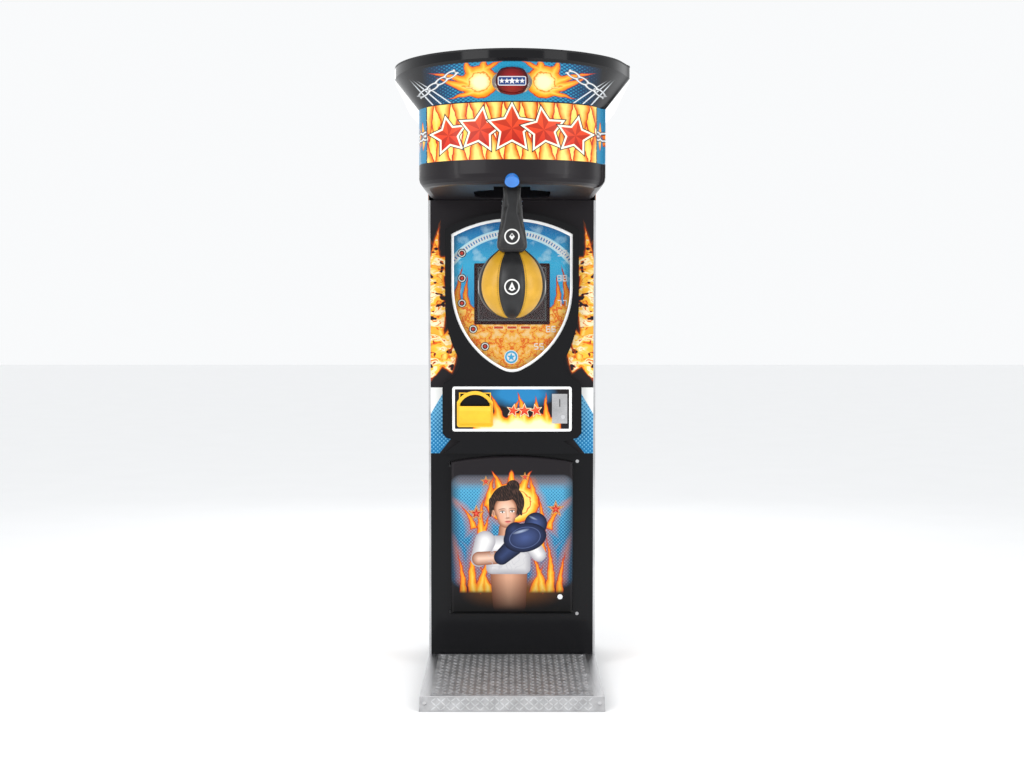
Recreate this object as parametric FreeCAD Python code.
import FreeCAD, Part
import math
import os

# A coin operated boxing punch machine, in millimetres.
# The origin is the middle of the base on the floor. +Z is up, the player stands at -Y and
# +X is on the player's right. Each sub-part is written to parts/NODE.step.

V = FreeCAD.Vector

# ---------------------------------------------------------------- driving dimensions
BODY_W = 645.0            # width of the base, the column and the head band
HALF_W = BODY_W / 2
SHEET = 3.0               # folded steel sheet
FACE_GAP = 0.3            # gap between faces on different bodies
RUN_CLEAR = 0.04          # radial clearance of a running shaft
HOLE_CLEAR = 0.2          # radial clearance of a screw or a fixed pin

BASE_LEN = 1116.0         # base with its ramp, front to rear
BASE_H = 45.0             # floor to the top of the cover
RAMP_RUN = 45.0           # the ramp folds down at 45 degrees
BASE_TUBE = 40.0
BASE_FRONT = -BASE_LEN / 2 + RAMP_RUN
BASE_REAR = BASE_LEN / 2

COLUMN_FRONT = 164.0      # Y of the column's front sheet
COLUMN_DEPTH = 312.0
COLUMN_REAR = COLUMN_FRONT + COLUMN_DEPTH
COLUMN_TOP = 2080.0
SIDE_T = 6.0              # printed side panels
POST_FLANGE = 32.0        # bright flange of the rear posts, seen from the side
POST_RETURN = 60.0        # rear return of the rear posts
TRIM_W = 8.0              # edge trims
TRIM_T = 4.0

HEAD_UNDER = 1808.0       # underside of the head
HEAD_BAND_TOP = 2076.0
HEAD_FRONT = -713.0
HEAD_NOSE = 273.0         # length of the band's half-elliptic front
HEAD_WALL = 4.0
HEAD_ROUND = 35.0         # rounded lower edge of the band

RIM_SPREAD = 87.5         # the visor rim stands this far outside the band
RIM_HALF_W = HALF_W + RIM_SPREAD
RIM_FRONT = -898.0
RIM_NOSE = 550.0          # length of the rim's half-elliptic front
RIM_REAR = COLUMN_REAR + 22.0
RIM_LOW_FRONT, RIM_LOW_REAR = 2194.0, 2174.0
RIM_TOP_FRONT, RIM_TOP_REAR = 2218.0, 2234.0
LID_T = 6.0
CROWN = 10.0              # rise of the lid over its edge
CROWN_INSET = 90.0
LID_WALL = 4.0

PIVOT_Y, PIVOT_Z = -468.0, 1890.0
SHAFT_R = 10.0
SHAFT_HALF = 104.0
COLLAR_R, COLLAR_T = SHAFT_R + 6, 8.0
HUB_R = 26.0
HUB_HALF = 40.0
BLOCK_IN, BLOCK_T = 70.0, 20.0       # bearing blocks
BEARING_R = 17.0
ARM_W, ARM_T = 30.0, 20.0
TAIL_LEN, TAIL_T = 52.0, 10.0

BAG_Y = -468.0
BAG_R = 119.0
BAG_LOW, BAG_TOP = 1359.0, 1623.0
BAG_PLATE_R, BAG_PLATE_T = 31.0, 6.0
SLEEVE_TOP = 1790.0
SLEEVE_FRONT = -499.7
CLAMP_H = 42.0
PAD_TOP, PAD_LOW = 1831.0, 1584.0
PAD_FRONT, PAD_REAR = -547.0, -500.0
PAD_TOP_W, PAD_WAIST_W, PAD_LOW_W = 68.0, 72.0, 110.0

STOW_HALF_W = 138.0       # inside of the stow recess
STOW_FRONT, STOW_REAR = -416.0, 93.0
STOW_TOP = 2023.0
STOW_WALL = 3.0
SLOT_HALF_W = 64.0        # arm slot through the head's floor
SLOT_FRONT = -570.0
SLOT_TOP = 1965.0

TUBE_W = 50.0             # mast posts
MAST_Y = COLUMN_REAR - 76.0
MAST_X = HALF_W - 67.5    # inner face of the mast tubes
TUBE_WALL = 3.0
RAIL_LOW, RAIL_H = 2020.0, 50.0
RAIL_FRONT = -500.0
BEAM_H, BEAM_D = 40.0, 60.0
PLATE_T = 8.0
PLATE_HALF_W = 110.0
PLATE_FRONT, PLATE_REAR = -610.0, -424.0
CHEEK_IN, CHEEK_T = 9.0, 3.0
HOOK_Y, HOOK_Z = -552.0, 1945.0
HOOK_OPEN = 20.0          # degrees from open to engaged
ARM_UP = 88.0             # degrees from hanging to latched up
HOOK_T = 6.0
HOOK_GAP = 0.8            # between the hook and the latched tail

SHIELD_W = 233.0          # half width of the shield window
SHIELD_CORNER, SHIELD_PEAK = 1676.0, 1736.0
SHIELD_TURN = 1470.0      # where the straight sides start to curve
SHIELD_R = 350.0          # radius of the curved sides
SHIELD_TIP = 1147.0
SHIELD_BLEND = 40.0       # half width of the rounded tip
MOULD_T = 30.0
MOULD_FRONT = COLUMN_FRONT - MOULD_T
BEZEL_W = 24.0
TRIM_LINE = 10.0
WINDOW_T = 3.0
WINDOW_SET = 8.0          # window face behind the moulding's front
BOARD_T = 4.0
DISPLAY_X, DISPLAY_LOW, DISPLAY_TOP = 132.5, 1343.0, 1552.0
DISPLAY_T = 8.0

COIN_HALF_W, COIN_LOW, COIN_TOP = 230.0, 918.0, 1091.0
COIN_ROUND = 10.0
COIN_T = 3.0
MECH_LEFT, MECH_RIGHT, MECH_LOW, MECH_TOP = 154.0, 213.0, 949.0, 1063.0
MECH_T = 3.5
SLOT_W, SLOT_H, SLOT_Z = 3.4, 30.0, 1028.0
SLOT_X = 184.0
BUTTON_R, BUTTON_X, BUTTON_Z = 8.0, 196.0, 975.0
VALID_HALF_W, VALID_LOW, VALID_TOP, VALID_REAR = 21.0, 960.5, 1051.5, 240.0
CHUTE_HALF_W, CHUTE_DEPTH, CHUTE_LOW, CHUTE_TOP = 19.0, 40.0, 362.0, 956.0
CHUTE_WALL = 1.5

CUP_LEFT, CUP_RIGHT, CUP_LOW, CUP_TOP = -212.0, -73.0, 935.0, 1074.0
CUP_FLANGE = 5.0
CUP_WALL = 4.0
CUP_RIM_Y = 92.0          # front of the cup's snout
CUP_MOUTH_LOW, CUP_MOUTH_TOP = 991.0, 1060.0
CUP_REAR = 190.0
FLAP_T = 2.0
FLAP_PIN_R = 2.0

DOOR_HALF_W = 236.0
DOOR_LOW, DOOR_SIDE_TOP, DOOR_PEAK = 208.0, 800.0, 823.0
DOOR_WALL = 4.0
DOOR_ROUND = 12.0
DOOR_HOLE_X, DOOR_HOLE_LOW, DOOR_HOLE_TOP = 205.0, 240.0, 780.0
HINGE_X, HINGE_Y = -241.0, 159.5
KNUCKLE_R, PIN_R = 4.0, 2.0
FRAME_TOP = 831.0
LOCK_R, LOCK_X, LOCK_Z = 8.0, 186.0, 276.0

SHELF_Z = 210.0
CASH_LEFT, CASH_RIGHT, CASH_FRONT, CASH_REAR, CASH_H = 60.0, 250.0, 176.0, 352.0, 130.0
CASH_WALL = 1.5

REAR_PANEL_X = HALF_W - 37.5
REAR_DOOR_X, REAR_DOOR_LOW, REAR_DOOR_TOP = HALF_W - 62.0, 130.0, 1510.0
REAR_HINGE_X, REAR_HINGE_Y = 0.5 - HALF_W + POST_RETURN, COLUMN_REAR + 4.5
REAR_KNUCKLES = (260.0, 820.0, 1380.0)
REAR_LOCK_X, REAR_LOCK_Z = REAR_DOOR_X - 24.5, 820.0

CASTER_X, CASTER_Z = 210.0, 2006.0
WHEEL_R, WHEEL_W, AXLE_R = 32.0, 24.0, 5.0
WHEEL_Y = COLUMN_REAR + 50.0

BADGE_R, BADGE_RING = 65.0, 9.0
LENS_R = 24.0

AXIS = {"x": V(1, 0, 0), "y": V(0, 1, 0), "z": V(0, 0, 1)}
PARTS = {}


# ---------------------------------------------------------------- shape helpers
def box(x, y, z):
    """A block between (low, high) pairs."""
    return Part.makeBox(x[1] - x[0], y[1] - y[0], z[1] - z[0], V(x[0], y[0], z[0]))


def rod(axis, centre, radius, length):
    """A cylinder along a named axis, with centre at its middle."""
    way = AXIS[axis]
    return Part.makeCylinder(radius, length, V(*centre) - way * (length / 2), way)


def ring(axis, centre, outer, inner, length):
    return rod(axis, centre, outer, length).cut(rod(axis, centre, inner, length + 2))


def tube(x, y, z, wall, along):
    """A square tube, open along one axis."""
    spans = {"x": list(x), "y": list(y), "z": list(z)}
    for name, span in spans.items():
        grow = 1 if name == along else -wall
        spans[name] = [span[0] - grow, span[1] + grow]
    return box(x, y, z).cut(box(spans["x"], spans["y"], spans["z"]))


def wire(path, place):
    """A closed wire. A step is a point, or a (middle, end) pair that an arc passes through."""
    edges = []
    here = path[0]
    for step in list(path[1:]) + [path[0]]:
        arc = isinstance(step[0], tuple)
        end = step[1] if arc else step
        if math.dist(here, end) < 1e-6:
            continue
        if arc:
            edges.append(Part.Arc(place(*here), place(*step[0]), place(*end)).toShape())
        else:
            edges.append(Part.LineSegment(place(*here), place(*end)).toShape())
        here = end
    return Part.Wire(edges)


def prism_x(path, x0, x1):
    """A (y, z) outline between two X planes."""
    face = Part.Face(wire(path, lambda y, z: V(x0, y, z)))
    return face.extrude(V(x1 - x0, 0, 0))


def prism_y(path, y0, y1):
    """An (x, z) outline between two Y planes."""
    face = Part.Face(wire(path, lambda x, z: V(x, y0, z)))
    return face.extrude(V(0, y1 - y0, 0))


def prism_z(path, z0, z1):
    """An (x, y) outline between two Z planes."""
    face = Part.Face(wire(path, lambda x, y: V(x, y, z0)))
    return face.extrude(V(0, 0, z1 - z0))


def rounded(left, right, low, top, r):
    """A rectangle with round corners, as a path."""
    k = r * (1 - math.sqrt(0.5))
    return [
        (left + r, low), (right - r, low),
        ((right - k, low + k), (right, low + r)), (right, top - r),
        ((right - k, top - k), (right - r, top)), (left + r, top),
        ((left + k, top - k), (left, top - r)), (left, low + r),
        ((left + k, low + k), (left + r, low)),
    ]


def mirror(shape):
    return shape.mirror(V(0, 0, 0), V(1, 0, 0))


def both(shape):
    """A piece and its mirror image across the middle plane, as two solids."""
    return Part.Compound([shape, mirror(shape)])


def fuse(shapes):
    whole = shapes[0]
    if len(shapes) > 1:
        whole = whole.fuse(shapes[1:])
    return whole.removeSplitter()


def cut(shape, tools):
    for tool in tools:
        shape = shape.cut(tool)
    return shape


def screw(x, y, z, head_r, head_h, shank_r, shank_len, way):
    """A pan head screw whose head sits on a face at (x, y, z); way points out of the face."""
    head = Part.makeCylinder(head_r, head_h, V(x, y, z), way)
    shank = Part.makeCylinder(shank_r, shank_len, V(x, y, z), way * -1)
    return head.fuse(shank).removeSplitter()


def hole(x, y, z, radius, depth, way):
    """The clearance hole of a screw, through depth below its face."""
    return Part.makeCylinder(radius, depth + 1, V(x, y, z) + way, way * -1)


# ---------------------------------------------------------------- base
SCREW_HEAD_R, SCREW_HEAD_H, SCREW_R, SCREW_LEN = 6.5, 3.0, 3.0, 8.0
TREAD_T, STRIP_T = 2.0, 1.5
TREAD_X, TREAD_EDGE = 285.0, 8.0
RAMP_WAY = V(0, -math.sqrt(0.5), math.sqrt(0.5))
STRIP_START, STRIP_END = 3.0, 60.0
CROSS_RAILS = (-BASE_TUBE / 2, COLUMN_FRONT - 14, BASE_REAR - BASE_TUBE)


def ramp_point(along, off):
    """A (y, z) point on the ramp: distance down the slope, and off its face."""
    k = math.sqrt(0.5)
    return (BASE_FRONT - along * k - off * k, BASE_H - along * k + off * k)


def base_screw_sites():
    """Screw places as (x, y, z, way): the tread plate's edge, then the ramp strip's ends."""
    rows = (BASE_FRONT + 24, BASE_FRONT + 330, COLUMN_FRONT - 30)
    top = [(s * (TREAD_X - 14), y, BASE_H + TREAD_T, V(0, 0, 1)) for y in rows for s in (-1, 1)]
    y, z = ramp_point(30, STRIP_T)
    return top + [(s * (HALF_W - 18), y, z, RAMP_WAY) for s in (-1, 1)]


def make_base():
    rail_top = BASE_H - SHEET
    fold = SHEET * math.tan(math.radians(22.5))
    rail_front = BASE_FRONT + fold
    side = tube((HALF_W - BASE_TUBE, HALF_W), (rail_front, BASE_REAR), (0, rail_top), TUBE_WALL, "y")
    cross = [
        tube((BASE_TUBE - HALF_W, HALF_W - BASE_TUBE), (y, y + BASE_TUBE), (0, rail_top), TUBE_WALL, "x")
        for y in (rail_front,) + CROSS_RAILS
    ]
    holes = [hole(x, y, z, SCREW_R + HOLE_CLEAR, SCREW_LEN + 2, way) for x, y, z, way in base_screw_sites()]
    PARTS["base_rails"] = cut(Part.Compound([side, mirror(side)] + cross), holes)

    toe = SHEET * math.sqrt(2)
    profile = [
        (BASE_REAR, BASE_H), (BASE_FRONT, BASE_H), (BASE_FRONT - RAMP_RUN, 0),
        (BASE_FRONT - RAMP_RUN + toe, 0), (BASE_FRONT + fold, rail_top), (BASE_REAR, rail_top),
    ]
    PARTS["base_cover"] = cut(prism_x(profile, -HALF_W, HALF_W), holes)

    tread = box((-TREAD_X, TREAD_X), (BASE_FRONT + TREAD_EDGE, COLUMN_FRONT - 12), (BASE_H, BASE_H + TREAD_T))
    strip = [ramp_point(STRIP_START, 0), ramp_point(STRIP_END, 0),
             ramp_point(STRIP_END, STRIP_T), ramp_point(STRIP_START, STRIP_T)]
    PARTS["tread_plates"] = Part.Compound([cut(tread, holes), cut(prism_x(strip, -HALF_W, HALF_W), holes)])


# ---------------------------------------------------------------- column
PANEL_IN_Y = COLUMN_REAR - 2 * SHEET
UPPER_PANEL_LOW = REAR_DOOR_TOP - 15
LOWER_PANEL_TOP = REAR_DOOR_LOW + 5
INLET_X, INLET_Z, INLET_W, INLET_H = -60.0, 90.0, 28.0, 20.0
SWITCH_X, SWITCH_W, SWITCH_H = 10.0, 14.0, 20.0
SWITCH_PIN_Y = COLUMN_REAR - 6
SPEAKER_Z, SPEAKER_R = 1720.0, 65.0


def slats(x, z_low, z_high, pitch, y):
    """Horizontal vent slots through the sheet at y."""
    count = int((z_high - z_low) / pitch)
    return [box(x, (y - 6, y + 6), (z_low + i * pitch, z_low + i * pitch + 5)) for i in range(count)]


def make_column():
    side = box((HALF_W - SIDE_T, HALF_W), (COLUMN_FRONT + TRIM_T, COLUMN_REAR - POST_FLANGE),
               (BASE_H, COLUMN_TOP - 6))
    PARTS["right_side_panel"] = side
    PARTS["left_side_panel"] = mirror(side)
    trim = box((HALF_W - TRIM_W, HALF_W), (COLUMN_FRONT, COLUMN_FRONT + TRIM_T), (BASE_H, HEAD_UNDER - 1))
    PARTS["edge_trims"] = both(trim)

    post = prism_z([
        (HALF_W - SHEET, COLUMN_REAR - POST_FLANGE), (HALF_W, COLUMN_REAR - POST_FLANGE),
        (HALF_W, COLUMN_REAR), (HALF_W - POST_RETURN, COLUMN_REAR),
        (HALF_W - POST_RETURN, COLUMN_REAR - SHEET), (HALF_W - SHEET, COLUMN_REAR - SHEET),
    ], BASE_H, COLUMN_TOP - 6)
    hinged = fuse([mirror(post)] + [rear_knuckle(z, -1) for z in REAR_KNUCKLES])
    hinged = cut(hinged, [rod("z", (REAR_HINGE_X, REAR_HINGE_Y, z), PIN_R, 80) for z in REAR_KNUCKLES])
    PARTS["rear_posts"] = Part.Compound([post, hinged])

    sheet_y = (PANEL_IN_Y, PANEL_IN_Y + SHEET)
    upper = box((-REAR_PANEL_X, REAR_PANEL_X), sheet_y, (UPPER_PANEL_LOW, COLUMN_TOP - 6))
    vents = slats((-50, 50), SPEAKER_Z - 45, SPEAKER_Z + 45, 12, PANEL_IN_Y)
    lower = box((-REAR_PANEL_X, REAR_PANEL_X), sheet_y, (BASE_H, LOWER_PANEL_TOP))
    lower = cut(lower, [
        box((INLET_X - INLET_W / 2, INLET_X + INLET_W / 2), (PANEL_IN_Y - 1, COLUMN_REAR),
            (INLET_Z - INLET_H / 2, INLET_Z + INLET_H / 2)),
        box((SWITCH_X - SWITCH_W / 2 - 2, SWITCH_X + SWITCH_W / 2 + 2), (PANEL_IN_Y - 1, COLUMN_REAR),
            (INLET_Z - SWITCH_H / 2 - 2, INLET_Z + SWITCH_H / 2 + 2)),
    ])
    PARTS["rear_panels"] = Part.Compound([cut(upper, vents), lower])
    PARTS["speaker"] = fuse([
        Part.makeCone(SPEAKER_R, 30, 45, V(0, PANEL_IN_Y, SPEAKER_Z), V(0, -1, 0)),
        rod("y", (0, PANEL_IN_Y - 55, SPEAKER_Z), 35, 22),
    ])


def rear_knuckle(z, side):
    """One hinge knuckle with its leaf: side -1 is on the post, +1 on the door."""
    low, high = (z - 30, z - 0.5) if side < 0 else (z + 0.5, z + 30)
    leaf_end = REAR_HINGE_X + side * 22
    leaf = box(sorted((REAR_HINGE_X, leaf_end)), (COLUMN_REAR, COLUMN_REAR + 2), (low, high))
    if side > 0:
        leaf = leaf.cut(box((REAR_HINGE_X - 1, REAR_HINGE_X + 1.5), (COLUMN_REAR - 1, COLUMN_REAR + 0.5),
                            (low - 1, high + 1)))
    barrel = rod("z", (REAR_HINGE_X, REAR_HINGE_Y, (low + high) / 2), KNUCKLE_R, high - low)
    return leaf.fuse(barrel)


def make_rear_door():
    front = COLUMN_REAR - SHEET + FACE_GAP
    sheet = box((-REAR_DOOR_X, REAR_DOOR_X), (front, COLUMN_REAR), (REAR_DOOR_LOW, REAR_DOOR_TOP))
    door = fuse([sheet] + [rear_knuckle(z, 1) for z in REAR_KNUCKLES])
    bores = [rod("z", (REAR_HINGE_X, REAR_HINGE_Y, z), PIN_R + RUN_CLEAR, 80) for z in REAR_KNUCKLES]
    barrel = rod("y", (REAR_LOCK_X, COLUMN_REAR, REAR_LOCK_Z), LOCK_R + RUN_CLEAR, 30)
    vents = slats((-120, 120), 1250, 1370, 12, COLUMN_REAR) + slats((-120, 120), 250, 340, 12, COLUMN_REAR)
    PARTS["rear_service_door"] = cut(door, bores + vents + [barrel])
    head = rod("y", (REAR_LOCK_X, COLUMN_REAR + 2.8, REAR_LOCK_Z), LOCK_R + 3, 4.5)
    body = rod("y", (REAR_LOCK_X, COLUMN_REAR - 7, REAR_LOCK_Z), LOCK_R, 20)
    cam = box((REAR_LOCK_X - 6, REAR_LOCK_X + 6), (COLUMN_REAR - 19, COLUMN_REAR - 16),
              (REAR_LOCK_Z - 34, REAR_LOCK_Z + 8))
    PARTS["rear_door_lock"] = fuse([head, body, cam])


# ---------------------------------------------------------------- mast and mechanism
def make_mast():
    post = tube((MAST_X, MAST_X + TUBE_W), (MAST_Y, MAST_Y + TUBE_W), (BASE_H, RAIL_LOW + RAIL_H),
                TUBE_WALL, "z")
    rail = tube((MAST_X, MAST_X + TUBE_W), (RAIL_FRONT, MAST_Y), (RAIL_LOW, RAIL_LOW + RAIL_H),
                TUBE_WALL, "y")
    beam = tube((-MAST_X - TUBE_W, MAST_X + TUBE_W), (PIVOT_Y - BEAM_D / 2, PIVOT_Y + BEAM_D / 2),
                (RAIL_LOW - BEAM_H, RAIL_LOW), TUBE_WALL, "x")
    PARTS["mast_posts"] = both(post)
    PARTS["head_rails"] = Part.Compound([rail, mirror(rail), beam])


def about_hook(path, degrees):
    """A (y, z) path turned about the hook's pin."""
    a = math.radians(degrees)
    turned = []
    for y, z in path:
        dy, dz = y - HOOK_Y, z - HOOK_Z
        turned.append((HOOK_Y + dy * math.cos(a) - dz * math.sin(a),
                       HOOK_Z + dy * math.sin(a) + dz * math.cos(a)))
    return turned


def make_mechanism():
    plate_low = RAIL_LOW - BEAM_H - PLATE_T
    plate = box((-PLATE_HALF_W, PLATE_HALF_W), (PLATE_FRONT, PLATE_REAR), (plate_low, plate_low + PLATE_T))
    cheek = prism_x([
        (HOOK_Y - 26, plate_low), (HOOK_Y - 26, HOOK_Z - 14), (PIVOT_Y - 62, PIVOT_Z - 28),
        (PIVOT_Y - 34, PIVOT_Z - 28), (PIVOT_Y - 34, HOOK_Z - 20), (PIVOT_Y - 50, plate_low),
    ], CHEEK_IN, CHEEK_IN + CHEEK_T)
    pin = rod("x", (0, HOOK_Y, HOOK_Z), 3, 2 * (CHEEK_IN + CHEEK_T))
    arm = box((-CHEEK_IN - CHEEK_T, CHEEK_IN + CHEEK_T), (PIVOT_Y + 20, PIVOT_Y + 26),
              (PIVOT_Z + 32, plate_low))
    PARTS["mechanism_plate"] = fuse([plate, cheek, mirror(cheek), pin, arm])

    half_tail = TAIL_T / 2
    tail_top = PIVOT_Z + half_tail + TAIL_LEN * math.cos(math.radians(ARM_UP)) + HOOK_GAP
    hook_path = [
        (HOOK_Y - 9, HOOK_Z + 7), (HOOK_Y + 9, HOOK_Z + 7), (HOOK_Y + 9, tail_top + 12),
        (PIVOT_Y - TAIL_LEN + 9, tail_top + 8), (PIVOT_Y - TAIL_LEN + 9, tail_top),
        (HOOK_Y + 2, tail_top), (HOOK_Y - 9, HOOK_Z - 12),
    ]
    hook = prism_x(about_hook(hook_path, -HOOK_OPEN), -HOOK_T / 2, HOOK_T / 2)
    PARTS["latch_hook"] = hook.cut(rod("x", (0, HOOK_Y, HOOK_Z), 3 + RUN_CLEAR, 30))
    PARTS["latch_solenoid"] = fuse([
        box((-16, 16), (PLATE_FRONT + 2, HOOK_Y - 30), (plate_low - 34, plate_low)),
        box((-5, 5), (PLATE_FRONT + 8, HOOK_Y - 36), (plate_low - 42, plate_low - 34)),
    ])
    rest = box((-8, 8), (PIVOT_Y + half_tail + 0.4, PIVOT_Y + 20), (PIVOT_Z + 36, PIVOT_Z + 50))
    stow = box((-CHEEK_IN, CHEEK_IN), (PIVOT_Y - 50, PIVOT_Y - 36),
               (PIVOT_Z - 26, PIVOT_Z - half_tail - 1.2))
    PARTS["swing_buffers"] = Part.Compound([rest, stow])

    block = box((BLOCK_IN, BLOCK_IN + BLOCK_T), (PIVOT_Y - 30, PIVOT_Y + 30), (PIVOT_Z - 28, plate_low))
    block = block.cut(rod("x", (BLOCK_IN + BLOCK_T / 2, PIVOT_Y, PIVOT_Z), BEARING_R, BLOCK_T + 2))
    PARTS["bearing_blocks"] = both(block)
    race = ring("x", (BLOCK_IN + BLOCK_T / 2, PIVOT_Y, PIVOT_Z), BEARING_R, SHAFT_R + RUN_CLEAR, BLOCK_T)
    PARTS["pivot_bearings"] = both(race)

    sensor = box((44, 58), (PIVOT_Y - 10, PIVOT_Y + 10), (PIVOT_Z + 34, plate_low))
    PARTS["swing_sensor"] = sensor.cut(box((49, 53), (PIVOT_Y - 11, PIVOT_Y + 11),
                                           (PIVOT_Z + 33, PIVOT_Z + 50)))


# ---------------------------------------------------------------- swinging arm
def loft(wires):
    return Part.makeLoft(wires, True, True)


def flat_wire(half_w, front, rear, z):
    return wire([(-half_w, front), (half_w, front), (half_w, rear), (-half_w, rear)],
                lambda x, y: V(x, y, z))


def make_arm():
    shaft = rod("x", (0, PIVOT_Y, PIVOT_Z), SHAFT_R, 2 * SHAFT_HALF)
    collar_in = BLOCK_IN + BLOCK_T + 0.5
    collars = [ring("x", (s * (collar_in + COLLAR_T / 2), PIVOT_Y, PIVOT_Z), COLLAR_R, SHAFT_R - 1, COLLAR_T)
               for s in (-1, 1)]
    PARTS["pivot_shaft"] = fuse([shaft] + collars)

    hub = rod("x", (0, PIVOT_Y, PIVOT_Z), HUB_R, 2 * HUB_HALF)
    plate_top = BAG_TOP + BAG_PLATE_T
    bar = box((-ARM_W / 2, ARM_W / 2), (PIVOT_Y - ARM_T / 2, PIVOT_Y + ARM_T / 2), (plate_top, PIVOT_Z))
    disc = rod("z", (0, BAG_Y, BAG_TOP + BAG_PLATE_T / 2), BAG_PLATE_R, BAG_PLATE_T)
    tail = box((-6, 6), (PIVOT_Y - TAIL_T / 2, PIVOT_Y + TAIL_T / 2), (PIVOT_Z, PIVOT_Z + TAIL_LEN))
    PARTS["swing_arm"] = fuse([hub, bar, disc, tail]).cut(rod("x", (0, PIVOT_Y, PIVOT_Z), SHAFT_R, 200))

    bar_hole = box((-ARM_W / 2, ARM_W / 2), (PIVOT_Y - ARM_T / 2, PIVOT_Y + ARM_T / 2), (plate_top - 1, 1900))
    clamp = box((-24, 24), (SLEEVE_FRONT, PIVOT_Y + 18), (SLEEVE_TOP, SLEEVE_TOP + CLAMP_H))
    PARTS["arm_clamp"] = clamp.cut(bar_hole)
    sleeve = loft([
        flat_wire(44, SLEEVE_FRONT, PIVOT_Y + 58, plate_top),
        flat_wire(38, SLEEVE_FRONT, PIVOT_Y + 44, plate_top + 60),
        flat_wire(34, SLEEVE_FRONT, PIVOT_Y + 32, SLEEVE_TOP),
    ])
    PARTS["neck_sleeve"] = sleeve.cut(bar_hole)
    pad = loft([
        flat_wire(PAD_LOW_W / 2 - 10, PAD_FRONT + 8, PAD_REAR, PAD_LOW),
        flat_wire(PAD_LOW_W / 2, PAD_FRONT, PAD_REAR, PAD_LOW + 22),
        flat_wire(PAD_LOW_W / 2 - 2, PAD_FRONT, PAD_REAR, PAD_LOW + 60),
        flat_wire(PAD_WAIST_W / 2, PAD_FRONT + 4, PAD_REAR, PAD_LOW + 160),
        flat_wire(PAD_TOP_W / 2, PAD_FRONT + 6, PAD_REAR, PAD_TOP),
    ])
    bag = bag_solid()
    PARTS["guard_pad"] = pad.cut(bag)
    PARTS["punch_bag"] = bag

    flag = rod("x", (51, PIVOT_Y, PIVOT_Z), 45, 2).cut(rod("x", (51, PIVOT_Y, PIVOT_Z), SHAFT_R, 4))
    keep = box((49, 53), (PIVOT_Y - 30, PIVOT_Y + 50), (PIVOT_Z - 50, PIVOT_Z + 46))
    PARTS["score_flag"] = flag.common(keep)


def bag_solid():
    """The pear shaped bag: a smooth outline turned about its own vertical axis."""
    middle = BAG_LOW + BAG_R - 7
    outline = [
        (0, BAG_LOW), (BAG_R * 0.42, BAG_LOW + 9), (BAG_R * 0.8, BAG_LOW + 42), (BAG_R, middle),
        (BAG_R * 0.93, middle + 52), (BAG_R * 0.68, middle + 104), (BAG_PLATE_R, BAG_TOP),
    ]
    curve = Part.BSplineCurve()
    curve.interpolate(Points=[V(r, 0, z) for r, z in outline], InitialTangent=V(1, 0, 0),
                      FinalTangent=V(-0.25, 0, 1))
    top = Part.LineSegment(V(BAG_PLATE_R, 0, BAG_TOP), V(0, 0, BAG_TOP)).toShape()
    spine = Part.LineSegment(V(0, 0, BAG_TOP), V(0, 0, BAG_LOW)).toShape()
    face = Part.Face(Part.Wire([curve.toShape(), top, spine]))
    bag = face.revolve(V(0, 0, 0), V(0, 0, 1), 360)
    bag.translate(V(0, BAG_Y, 0))
    return Part.Solid(bag) if bag.ShapeType != "Solid" else bag


# ---------------------------------------------------------------- head
def hull_wire(half_w, front, nose, rear, z_front, z_rear):
    """The head's outline in plan: a half ellipse in front of straight sides.

    It lies in a plane that rises evenly from z_front at the front to z_rear at the rear.
    """
    slope = (z_rear - z_front) / (rear - front)

    def at(x, y):
        return V(x, y, z_front + slope * (y - front))

    points = []
    for step in range(-6, 7):
        t = math.radians(15 * step)
        points.append(at(half_w * math.sin(t), front + nose * (1 - math.cos(t))))
    way = V(0, 1, slope)
    curve = Part.BSplineCurve()
    curve.interpolate(Points=points, InitialTangent=way * -1, FinalTangent=way)
    right, left = points[-1], points[0]
    edges = [
        curve.toShape(),
        Part.LineSegment(right, at(half_w, rear)).toShape(),
        Part.LineSegment(at(half_w, rear), at(-half_w, rear)).toShape(),
        Part.LineSegment(at(-half_w, rear), left).toShape(),
    ]
    return Part.Wire(edges)


def pan(inset, low, top, rear):
    """The band as a solid tub whose lower edge is rounded at the front and the sides."""
    radius = HEAD_ROUND - inset
    sections = []
    for degrees in (0, 22.5, 45, 67.5, 90):
        t = math.radians(degrees)
        pull = inset + radius * (1 - math.sin(t))
        z = low + radius * (1 - math.cos(t))
        sections.append(hull_wire(HALF_W - pull, HEAD_FRONT + pull, HEAD_NOSE - pull, rear, z, z))
    sections.append(hull_wire(HALF_W - inset, HEAD_FRONT + inset, HEAD_NOSE - inset, rear, top, top))
    return loft(sections)


def stadium(grow):
    """The stow recess in plan."""
    r = STOW_HALF_W + grow
    front, rear = STOW_FRONT + STOW_HALF_W, STOW_REAR - STOW_HALF_W
    return [(-r, rear), (-r, front), ((0, front - r), (r, front)), (r, rear), ((0, rear + r), (-r, rear))]


def visor(shrink):
    """The flared part of the head as one solid, its walls shrunk sideways."""
    low = hull_wire(HALF_W - shrink, HEAD_FRONT + shrink, HEAD_NOSE - shrink, COLUMN_REAR - shrink,
                    HEAD_BAND_TOP, HEAD_BAND_TOP)
    rim = (RIM_HALF_W - shrink, RIM_FRONT + shrink, RIM_NOSE - shrink, RIM_REAR - shrink)
    return loft([low, hull_wire(*rim, RIM_LOW_FRONT, RIM_LOW_REAR),
                 hull_wire(*rim, RIM_TOP_FRONT, RIM_TOP_REAR)])


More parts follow.
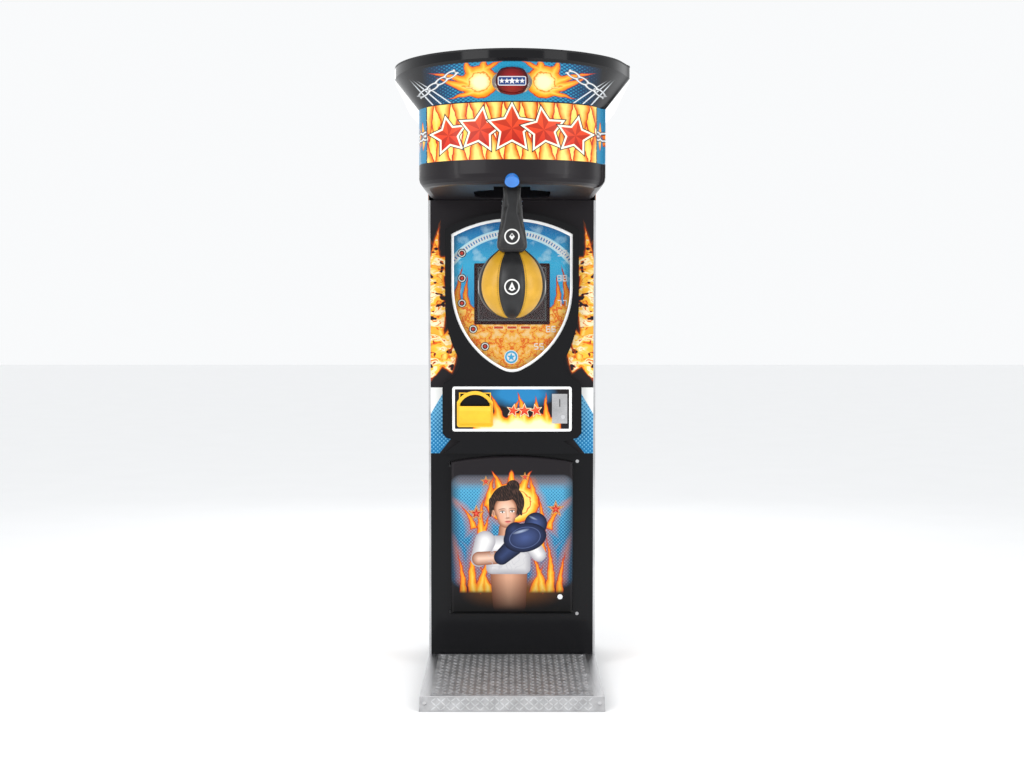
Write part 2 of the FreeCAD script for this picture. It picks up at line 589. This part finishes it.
def lid(shrink, drop):
    """The crowned lid as one solid; drop sinks its open foot below the rim."""
    rim = (RIM_HALF_W - shrink, RIM_FRONT + shrink, RIM_NOSE - shrink, RIM_REAR - shrink)
    inset = CROWN_INSET + shrink
    top = (RIM_HALF_W - inset, RIM_FRONT + inset, RIM_NOSE - inset, RIM_REAR - inset)
    edge = LID_T - shrink
    crown = edge + CROWN
    return loft([hull_wire(*rim, RIM_TOP_FRONT + drop, RIM_TOP_REAR + drop),
                 hull_wire(*rim, RIM_TOP_FRONT + edge, RIM_TOP_REAR + edge),
                 hull_wire(*top, RIM_TOP_FRONT + crown, RIM_TOP_REAR + crown)])


def make_head():
    outer = pan(0, HEAD_UNDER, HEAD_BAND_TOP, COLUMN_FRONT)
    inner = pan(HEAD_WALL, HEAD_UNDER + HEAD_WALL, HEAD_BAND_TOP + 1, COLUMN_FRONT - HEAD_WALL)
    slot = box((-SLOT_HALF_W, SLOT_HALF_W), (SLOT_FRONT, STOW_FRONT + 60), (HEAD_UNDER - 1, HEAD_UNDER + 9))
    recess = prism_z(stadium(0), HEAD_UNDER - 1, HEAD_UNDER + 9)
    rail_hole = box((MAST_X - 0.5, MAST_X + TUBE_W + 0.5), (COLUMN_FRONT - 9, COLUMN_FRONT + 1),
                    (RAIL_LOW - 0.5, RAIL_LOW + RAIL_H + 0.5))
    PARTS["head_shell"] = cut(outer, [inner, slot, recess, rail_hole, mirror(rail_hole)])

    floor = HEAD_UNDER + HEAD_WALL
    tub = prism_z(stadium(STOW_WALL), floor, STOW_TOP)
    tub = tub.cut(prism_z(stadium(0), floor - 1, STOW_TOP - STOW_WALL))
    flange = prism_z(stadium(16), floor, floor + STOW_WALL).cut(prism_z(stadium(0), floor - 1, floor + 9))
    arm_way = box((-SLOT_HALF_W, SLOT_HALF_W), (STOW_FRONT - 30, STOW_FRONT + 60), (floor - 1, SLOT_TOP))
    PARTS["stow_tub"] = fuse([tub, flange]).cut(arm_way)

    outer_visor = visor(0)
    PARTS["visor_shell"] = outer_visor.cut(visor(HEAD_WALL))
    PARTS["top_cover"] = lid(0, 0).cut(lid(LID_WALL, -1))

    slope = math.atan2(RIM_LOW_FRONT - HEAD_BAND_TOP, HEAD_FRONT - RIM_FRONT)
    out = V(0, -math.sin(slope), -math.cos(slope))
    middle = V(0, (HEAD_FRONT + RIM_FRONT) / 2, (HEAD_BAND_TOP + RIM_LOW_FRONT) / 2)
    disc = Part.makeCylinder(BADGE_R, 20, middle - out * 12, out)
    face = Part.makeCylinder(BADGE_R - BADGE_RING, 5, middle + out * 6, out)
    PARTS["badge"] = disc.cut(face).cut(outer_visor)

    corner = HEAD_ROUND * (1 - math.sqrt(0.5))
    lens_at = V(0, HEAD_FRONT + corner, HEAD_UNDER + corner)
    way = V(0, -math.sqrt(0.5), -math.sqrt(0.5))
    lens = Part.makeCylinder(LENS_R, 18, lens_at - way * 12, way)
    PARTS["head_lens"] = lens.cut(outer)


# ---------------------------------------------------------------- column front
def shield(grow):
    """The shield outline, grown outwards by a width."""
    w, r = SHIELD_W + grow, SHIELD_R + grow
    centre = SHIELD_W - SHIELD_R

    def side(x):
        return SHIELD_TURN - math.sqrt(r * r - (x - centre) ** 2)

    half = math.radians(30)
    mid = (centre + r * math.cos(half), SHIELD_TURN - r * math.sin(half))
    blend = (SHIELD_BLEND, side(SHIELD_BLEND))
    return [
        (-w, SHIELD_CORNER + grow * 0.8), (-w, SHIELD_TURN),
        ((-mid[0], mid[1]), (-blend[0], blend[1])), ((0, SHIELD_TIP - grow), blend),
        (mid, (w, SHIELD_TURN)), (w, SHIELD_CORNER + grow * 0.8),
        ((0, SHIELD_PEAK + grow), (-w, SHIELD_CORNER + grow * 0.8)),
    ]


def moulding_outline():
    """Half the moulding is listed, from its foot up to the shield's shoulder."""
    edge = SHIELD_W + BEZEL_W
    shoulder = SHIELD_CORNER + BEZEL_W * 0.8
    half = [
        (edge + 11, FRAME_TOP + 1), (200, 880), (edge - 4, 893), (edge + 11, 911), (edge + 11, 1085),
        (edge + 5, 1106), ((214, 1146), (200, 1190)), ((241, 1290), (edge, 1420)), (edge, shoulder),
    ]
    flipped = [((0, SHIELD_PEAK + BEZEL_W), (-edge, shoulder)), (-edge, 1420),
               ((-241, 1290), (-200, 1190)), ((-214, 1146), (-edge - 5, 1106)), (-edge - 11, 1085),
               (-edge - 11, 911), (-edge + 4, 893), (-200, 880), (-edge - 11, FRAME_TOP + 1)]
    return half + flipped


def cup_hole(grow, y0, y1):
    return box((CUP_LEFT + 8 - grow, CUP_RIGHT - 8 + grow), (y0, y1),
               (CUP_LOW + 8 - grow, CUP_TOP - 6 + grow))


def validator_hole(grow, y0, y1):
    return box((SLOT_X - VALID_HALF_W - grow, SLOT_X + VALID_HALF_W + grow), (y0, y1),
               (VALID_LOW - grow, VALID_TOP + grow))


def make_front():
    back = COLUMN_FRONT + SHEET
    panel = box((TRIM_W - HALF_W, HALF_W - TRIM_W), (COLUMN_FRONT, back), (FRAME_TOP, HEAD_UNDER - 1))
    PARTS["front_panel"] = cut(panel, [cup_hole(0.5, 100, 200), validator_hole(0.5, 100, 200)])

    mould = prism_y(moulding_outline(), MOULD_FRONT, COLUMN_FRONT)
    pocket = prism_y(rounded(-COIN_HALF_W, COIN_HALF_W, COIN_LOW, COIN_TOP, COIN_ROUND),
                     MOULD_FRONT - 1, MOULD_FRONT + COIN_T)
    glass = prism_y(shield(0), MOULD_FRONT - 1, COLUMN_FRONT + 1)
    PARTS["front_moulding"] = cut(mould, [pocket, glass, cup_hole(0.5, 100, 200),
                                          validator_hole(0.5, 100, 200)])

    window_y = MOULD_FRONT + WINDOW_SET
    PARTS["shield_window"] = prism_y(shield(0), window_y, window_y + WINDOW_T)
    shield_trim = prism_y(shield(0), window_y - 3, window_y).cut(
        prism_y(shield(-TRIM_LINE), window_y - 4, window_y + 1))
    coin_front = MOULD_FRONT - 1.5
    coin_trim = prism_y(rounded(-COIN_HALF_W, COIN_HALF_W, COIN_LOW, COIN_TOP, COIN_ROUND),
                        coin_front, MOULD_FRONT)
    inner = prism_y(rounded(TRIM_LINE - COIN_HALF_W, COIN_HALF_W - TRIM_LINE, COIN_LOW + TRIM_LINE,
                            COIN_TOP - TRIM_LINE, 3), coin_front - 1, MOULD_FRONT + 1)
    PARTS["front_trims"] = Part.Compound([shield_trim, coin_trim.cut(inner)])
    PARTS["score_board"] = prism_y(shield(0), COLUMN_FRONT - BOARD_T, COLUMN_FRONT)
    PARTS["score_display"] = box((-DISPLAY_X, DISPLAY_X),
                                 (COLUMN_FRONT - BOARD_T - DISPLAY_T, COLUMN_FRONT - BOARD_T),
                                 (DISPLAY_LOW, DISPLAY_TOP))

    coin_panel = prism_y(rounded(-COIN_HALF_W, COIN_HALF_W, COIN_LOW, COIN_TOP, COIN_ROUND),
                         MOULD_FRONT, MOULD_FRONT + COIN_T)
    PARTS["coin_panel"] = cut(coin_panel, [cup_hole(0.5, 100, 200), validator_hole(0.5, 100, 200)])
    make_coin_entry()
    make_cup()

    board = box((-100, 100), (back + 12, back + 14), (1180, 1330))
    studs = [rod("y", (x, back + 6, z), 4, 12) for x in (-90, 90) for z in (1190, 1320)]
    chips = [box((x, x + 34), (back + 14, back + 20), (1230, 1264)) for x in (-70, -10, 50)]
    PARTS["control_board"] = fuse([board] + studs + chips)


def make_coin_entry():
    front = MOULD_FRONT - MECH_T
    plate = box((MECH_LEFT, MECH_RIGHT), (front, MOULD_FRONT), (MECH_LOW, MECH_TOP))
    slot = box((SLOT_X - SLOT_W / 2, SLOT_X + SLOT_W / 2), (front - 1, VALID_REAR - 40),
               (SLOT_Z - SLOT_H / 2, SLOT_Z + SLOT_H / 2))
    bore = rod("y", (BUTTON_X, front, BUTTON_Z), BUTTON_R + RUN_CLEAR, 40)
    PARTS["coin_entry_plate"] = cut(plate, [slot, bore])
    head = rod("y", (BUTTON_X, front - 2.5, BUTTON_Z), BUTTON_R, 2 * (MECH_T + 2.5) - 2.5)
    PARTS["coin_reject_button"] = head
    body = box((SLOT_X - VALID_HALF_W, SLOT_X + VALID_HALF_W), (MOULD_FRONT, VALID_REAR),
               (VALID_LOW, VALID_TOP))
    drop = box((SLOT_X - SLOT_W / 2, SLOT_X + SLOT_W / 2), (COLUMN_FRONT + 8, VALID_REAR - 40),
               (VALID_LOW - 1, SLOT_Z))
    well = rod("y", (BUTTON_X, MOULD_FRONT, BUTTON_Z), BUTTON_R + 1, 20)
    PARTS["coin_validator"] = cut(body, [slot, drop, well])
    back = COLUMN_FRONT + SHEET
    PARTS["coin_chute"] = tube((SLOT_X - CHUTE_HALF_W, SLOT_X + CHUTE_HALF_W), (back, back + CHUTE_DEPTH),
                               (CHUTE_LOW, CHUTE_TOP), CHUTE_WALL, "z")


def cup_arch(left, right, low, top):
    """A flat foot with small round corners under a round head, as a path."""
    r = 10
    k = r * (1 - math.sqrt(0.5))
    rise = (right - left) / 2 * 0.62
    return [
        (left + r, low), (right - r, low), ((right - k, low + k), (right, low + r)), (right, top - rise),
        (((left + right) / 2, top), (left, top - rise)), (left, low + r),
        ((left + k, low + k), (left + r, low)),
    ]


def make_cup():
    front = MOULD_FRONT - CUP_FLANGE
    mouth_x = (CUP_LEFT + 12.5, CUP_RIGHT - 12.5)
    flange = prism_y(cup_arch(CUP_LEFT, CUP_RIGHT, CUP_LOW, CUP_TOP), front, MOULD_FRONT)
    snout = prism_x([
        (front, CUP_LOW + 4), (CUP_RIM_Y + 26, CUP_LOW + 16), (CUP_RIM_Y, CUP_MOUTH_LOW + 9),
        (CUP_RIM_Y, CUP_MOUTH_LOW + 27), (CUP_RIM_Y + 6, CUP_MOUTH_LOW + 27), (front, CUP_MOUTH_LOW + 40),
    ], mouth_x[0] - CUP_WALL, mouth_x[1] + CUP_WALL)
    tray = cup_hole(0, MOULD_FRONT, CUP_REAR)
    mouth = prism_y(cup_arch(mouth_x[0], mouth_x[1], CUP_MOUTH_LOW - 22, CUP_MOUTH_TOP),
                    CUP_RIM_Y - 1, MOULD_FRONT + 1)
    scoop = prism_x([
        (MOULD_FRONT + 1, CUP_LOW + 14), (CUP_RIM_Y + 30, CUP_LOW + 26),
        (CUP_RIM_Y + CUP_WALL, CUP_MOUTH_LOW + 11),
        (CUP_RIM_Y + CUP_WALL, CUP_TOP), (MOULD_FRONT + 1, CUP_TOP),
    ], *mouth_x)
    hollow = box(mouth_x, (MOULD_FRONT, CUP_REAR - CUP_WALL), (CUP_LOW + 14, CUP_TOP - 6 - CUP_WALL))
    trim = prism_y(cup_arch(CUP_LEFT, CUP_RIGHT, CUP_LOW, CUP_TOP), CUP_RIM_Y - 1, MOULD_FRONT)
    lip = snout.cut(scoop).common(trim)
    inside = scoop.common(mouth)
    flap_y, flap_z = MOULD_FRONT + 5, CUP_TOP - 6 - CUP_WALL - 4
    pin = rod("x", ((CUP_LEFT + CUP_RIGHT) / 2, flap_y, flap_z), FLAP_PIN_R, CUP_RIGHT - CUP_LEFT - 20)
    cup = fuse([flange, lip, tray]).cut(hollow).cut(inside)
    PARTS["coin_return_cup"] = fuse([cup, pin])
    side = FACE_GAP + 0.5
    barrel = rod("x", ((CUP_LEFT + CUP_RIGHT) / 2, flap_y, flap_z), FLAP_PIN_R + 1.5,
                 mouth_x[1] - mouth_x[0] - 2 * side)
    leaf = box((mouth_x[0] + side, mouth_x[1] - side), (flap_y - FLAP_T / 2, flap_y + FLAP_T / 2),
               (CUP_MOUTH_LOW - 4, flap_z))
    flap = leaf.fuse(barrel)
    PARTS["coin_return_flap"] = flap.cut(rod("x", (0, flap_y, flap_z), FLAP_PIN_R + RUN_CLEAR, 600))


# ---------------------------------------------------------------- lower front and door
def door_path(inset):
    x, low = DOOR_HALF_W - inset, DOOR_LOW + inset
    return [(-x, low), (x, low), (x, DOOR_SIDE_TOP - inset),
            ((0, DOOR_PEAK - inset), (-x, DOOR_SIDE_TOP - inset))]


def door_ear(z0, z1):
    ear = rod("z", (HINGE_X, HINGE_Y, (z0 + z1) / 2), KNUCKLE_R, z1 - z0)
    return ear.fuse(box((HINGE_X, -DOOR_HALF_W + 8), (HINGE_Y - KNUCKLE_R, HINGE_Y + KNUCKLE_R), (z0, z1)))


def frame_lug(z0, z1):
    lug = rod("z", (HINGE_X, HINGE_Y, (z0 + z1) / 2), KNUCKLE_R, z1 - z0)
    return lug.fuse(box((HINGE_X - KNUCKLE_R, HINGE_X + KNUCKLE_R), (HINGE_Y, COLUMN_FRONT), (z0, z1)))


EAR_LOW = (DOOR_LOW + 1, DOOR_LOW + 9)
EAR_HIGH = (DOOR_SIDE_TOP - 22, DOOR_SIDE_TOP - 14)
LUG_LOW = (DOOR_LOW - 12, DOOR_LOW + 0.6)
LUG_HIGH = (DOOR_SIDE_TOP - 13.6, DOOR_SIDE_TOP - 1)
FRONT_BOLTS = [(253.0, 800.0), (253.0, 205.0)]


def make_lower_front():
    back = COLUMN_FRONT + SHEET
    frame = box((TRIM_W - HALF_W, HALF_W - TRIM_W), (COLUMN_FRONT, back), (BASE_H, FRAME_TOP))
    gate = box((-DOOR_HOLE_X, DOOR_HOLE_X), (COLUMN_FRONT - 1, back + 1), (DOOR_HOLE_LOW, DOOR_HOLE_TOP))
    bores = [rod("z", (HINGE_X, HINGE_Y, sum(span) / 2), PIN_R, 20) for span in (LUG_LOW, LUG_HIGH)]
    bolt_holes = [hole(x, COLUMN_FRONT, z, SCREW_R + HOLE_CLEAR, 12, V(0, -1, 0)) for x, z in FRONT_BOLTS]
    frame = fuse([frame.cut(gate), frame_lug(*LUG_LOW), frame_lug(*LUG_HIGH)])
    PARTS["lower_front_frame"] = cut(frame, bores + bolt_holes)

    rear = COLUMN_FRONT - FACE_GAP
    shell = prism_y(door_path(0), MOULD_FRONT, rear)
    front_edges = [e for e in shell.Edges if abs(e.BoundBox.YMax - MOULD_FRONT) < 0.01]
    shell = shell.makeFillet(DOOR_ROUND, front_edges)
    shell = shell.cut(prism_y(door_path(DOOR_ROUND), MOULD_FRONT + DOOR_WALL, rear + 1))
    bearings = [rod("z", (HINGE_X, HINGE_Y, sum(span) / 2), PIN_R + RUN_CLEAR, 30)
                for span in (EAR_LOW, EAR_HIGH)]
    bores = bearings + [rod("y", (LOCK_X, MOULD_FRONT, LOCK_Z), LOCK_R + RUN_CLEAR, 30)]
    PARTS["lower_door"] = cut(fuse([shell, door_ear(*EAR_LOW), door_ear(*EAR_HIGH)]), bores)
    head = rod("y", (LOCK_X, MOULD_FRONT - 1.8, LOCK_Z), LOCK_R + 2, 3)
    rim, end = MOULD_FRONT - FACE_GAP, back + 5
    body = rod("y", (LOCK_X, (rim + end) / 2, LOCK_Z), LOCK_R, end - rim)
    cam = box((LOCK_X - 6, LOCK_X + 6), (back + 1, back + 4), (LOCK_Z - 30, LOCK_Z + 8))
    PARTS["lower_door_lock"] = fuse([head, body, cam])


def make_pins_and_screws():
    pins = [rod("z", (REAR_HINGE_X, REAR_HINGE_Y, z), PIN_R, 60) for z in REAR_KNUCKLES]
    pins += [rod("z", (HINGE_X, HINGE_Y, (LUG_LOW[0] + EAR_LOW[1]) / 2), PIN_R, EAR_LOW[1] - LUG_LOW[0]),
             rod("z", (HINGE_X, HINGE_Y, (EAR_HIGH[0] + LUG_HIGH[1]) / 2), PIN_R, LUG_HIGH[1] - EAR_HIGH[0])]
    PARTS["door_hinge_pins"] = Part.Compound(pins)
    screws = [screw(x, y, z, SCREW_HEAD_R, SCREW_HEAD_H, SCREW_R, SCREW_LEN, way)
              for x, y, z, way in base_screw_sites()]
    screws += [screw(x, COLUMN_FRONT, z, SCREW_HEAD_R, SCREW_HEAD_H, SCREW_R, SCREW_LEN, V(0, -1, 0))
               for x, z in FRONT_BOLTS]
    PARTS["cover_screws"] = Part.Compound(screws)


# ---------------------------------------------------------------- inside the column
def make_inside():
    x = HALF_W - SIDE_T
    PARTS["cash_shelf"] = box((-x, x), (COLUMN_FRONT + TRIM_T, MAST_Y - 1), (SHELF_Z, SHELF_Z + SHEET))
    low = SHELF_Z + SHEET
    outer = box((CASH_LEFT, CASH_RIGHT), (CASH_FRONT, CASH_REAR), (low, low + CASH_H))
    inner = box((CASH_LEFT + CASH_WALL, CASH_RIGHT - CASH_WALL),
                (CASH_FRONT + CASH_WALL, CASH_REAR - CASH_WALL), (low + CASH_WALL, low + CASH_H + 1))
    PARTS["cash_box"] = outer.cut(inner)
    PARTS["power_supply"] = fuse([
        box((-200, -40), (310, 400), (BASE_H, BASE_H + 55)),
        box((-180, -60), (320, 390), (BASE_H + 55, BASE_H + 60)),
    ])
    inlet = box((INLET_X - 22, INLET_X + 22), (PANEL_IN_Y + SHEET, PANEL_IN_Y + SHEET + 3),
                (INLET_Z - 14, INLET_Z + 14))
    body = box((INLET_X - INLET_W / 2, INLET_X + INLET_W / 2), (PANEL_IN_Y - 22, PANEL_IN_Y + SHEET),
               (INLET_Z - INLET_H / 2, INLET_Z + INLET_H / 2))
    mouth = box((INLET_X - 11, INLET_X + 11), (PANEL_IN_Y - 16, PANEL_IN_Y + SHEET + 4),
                (INLET_Z - 7, INLET_Z + 7))
    bezel = box((SWITCH_X - 14, SWITCH_X + 14), (PANEL_IN_Y + SHEET, PANEL_IN_Y + SHEET + 2),
                (INLET_Z - 17, INLET_Z + 17))
    well = box((SWITCH_X - SWITCH_W / 2 - 2, SWITCH_X + SWITCH_W / 2 + 2),
               (PANEL_IN_Y - 16, PANEL_IN_Y + SHEET),
               (INLET_Z - SWITCH_H / 2 - 2, INLET_Z + SWITCH_H / 2 + 2))
    room = box((SWITCH_X - SWITCH_W / 2 - 0.4, SWITCH_X + SWITCH_W / 2 + 0.4),
               (PANEL_IN_Y - 14, COLUMN_REAR + 9),
               (INLET_Z - SWITCH_H / 2 - 1, INLET_Z + SWITCH_H / 2 + 1))
    pin = rod("x", (SWITCH_X, SWITCH_PIN_Y, INLET_Z), 1.5, SWITCH_W + 4)
    PARTS["power_inlet"] = Part.Compound([
        fuse([inlet, body]).cut(mouth), fuse([fuse([bezel, well]).cut(room), pin])])
    rocker = prism_x([
        (SWITCH_PIN_Y + 6.5, INLET_Z - SWITCH_H / 2 + 1.5), (SWITCH_PIN_Y + 11, INLET_Z + SWITCH_H / 2 - 1.5),
        (SWITCH_PIN_Y - 2, INLET_Z + SWITCH_H / 2 - 3), (SWITCH_PIN_Y - 4, INLET_Z),
        (SWITCH_PIN_Y - 2, INLET_Z - SWITCH_H / 2 + 3),
    ], SWITCH_X - SWITCH_W / 2, SWITCH_X + SWITCH_W / 2)
    PARTS["power_switch"] = rocker.cut(rod("x", (SWITCH_X, SWITCH_PIN_Y, INLET_Z), 1.5 + RUN_CLEAR, 40))


def make_casters():
    half = WHEEL_W / 2
    plate_y = PANEL_IN_Y + SHEET
    plate = box((CASTER_X - 30, CASTER_X + 30), (plate_y, plate_y + SHEET), (CASTER_Z - 40, CASTER_Z + 40))
    cheeks = []
    for side in (-1, 1):
        x = sorted((CASTER_X + side * (half + 2), CASTER_X + side * (half + 2 + SHEET)))
        cheeks.append(prism_x([
            (plate_y, CASTER_Z - 34), (WHEEL_Y, CASTER_Z - 14),
            ((WHEEL_Y + 14, CASTER_Z), (WHEEL_Y, CASTER_Z + 14)), (plate_y, CASTER_Z + 34),
        ], *x))
    axle = rod("x", (CASTER_X, WHEEL_Y, CASTER_Z), AXLE_R, WHEEL_W + 18)
    PARTS["caster_forks"] = both(fuse([plate, axle] + cheeks))
    wheel = rod("x", (CASTER_X, WHEEL_Y, CASTER_Z), WHEEL_R, WHEEL_W)
    rims = [e for e in wheel.Edges if e.Curve.TypeId == "Part::GeomCircle"]
    wheel = wheel.makeFillet(5, rims).cut(rod("x", (CASTER_X, WHEEL_Y, CASTER_Z), AXLE_R + RUN_CLEAR, 60))
    PARTS["right_caster_wheel"] = wheel
    PARTS["left_caster_wheel"] = mirror(wheel)


def export():
    os.makedirs("parts", exist_ok=True)
    for name, shape in PARTS.items():
        solids = shape.Solids
        if not solids or not shape.isValid():
            raise ValueError(name + " is not a valid solid")
        whole = solids[0] if len(solids) == 1 else Part.Compound(solids)
        whole.exportStep(os.path.join("parts", name + ".step"))
        print(name, len(solids), round(whole.Volume / 1000, 1), "cm3")
    print(len(PARTS), "nodes")


make_base()
make_column()
make_rear_door()
make_mast()
make_mechanism()
make_arm()
make_head()
make_front()
make_lower_front()
make_pins_and_screws()
make_inside()
make_casters()
export()
